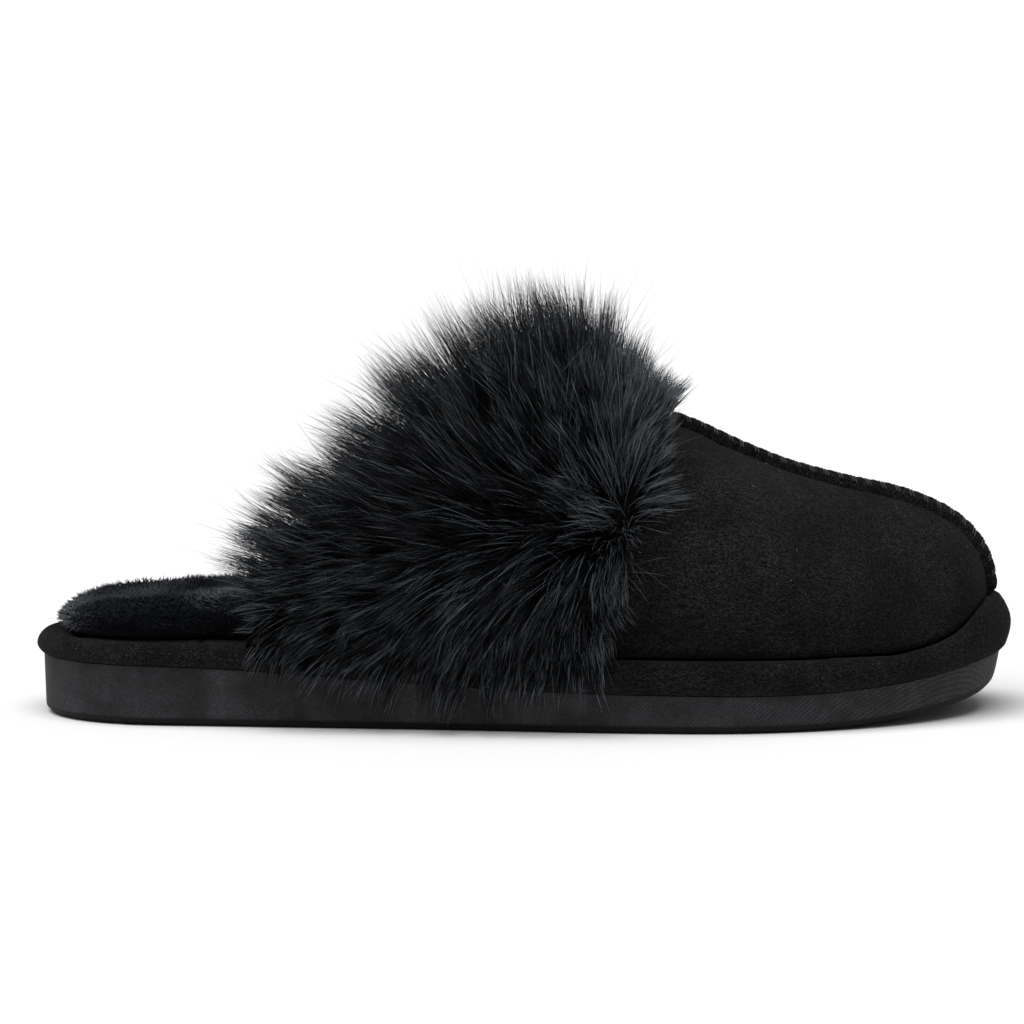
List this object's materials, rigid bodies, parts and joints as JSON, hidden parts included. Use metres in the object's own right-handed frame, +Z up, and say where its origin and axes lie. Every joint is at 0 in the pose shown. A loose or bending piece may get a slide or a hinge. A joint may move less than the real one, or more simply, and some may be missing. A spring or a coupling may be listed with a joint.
{
  "type": "house slipper",
  "caption": "Right-foot slip-on house slipper: open heel, hollow suede upper with a raised centre seam, deep fur cuff, plush insole, moulded sole.",
  "frame": {"origin": "on the floor, at the flat middle of the outsole, halfway between the heel end and the toe end of the platform", "axes": "+X from heel to toe, +Y towards the inner side of the right foot, +Z up"},
  "size_m": [0.266, 0.1172, 0.1174],
  "materials": {
    "sole_rubber": "matt moulded foam rubber with a fine twill texture",
    "black_suede": "soft black suede with a short brushed nap",
    "black_plush": "short dense blue-black plush pile",
    "black_fur": "long glossy black fur lying in locks"
  },
  "bodies": {
    "root": {"outsole": "sole_rubber", "platform": "black_suede", "insole": "black_plush", "upper": "black_suede", "centre_seam": "black_suede", "fur_cuff": "black_fur"}
  },
  "joints": []
}
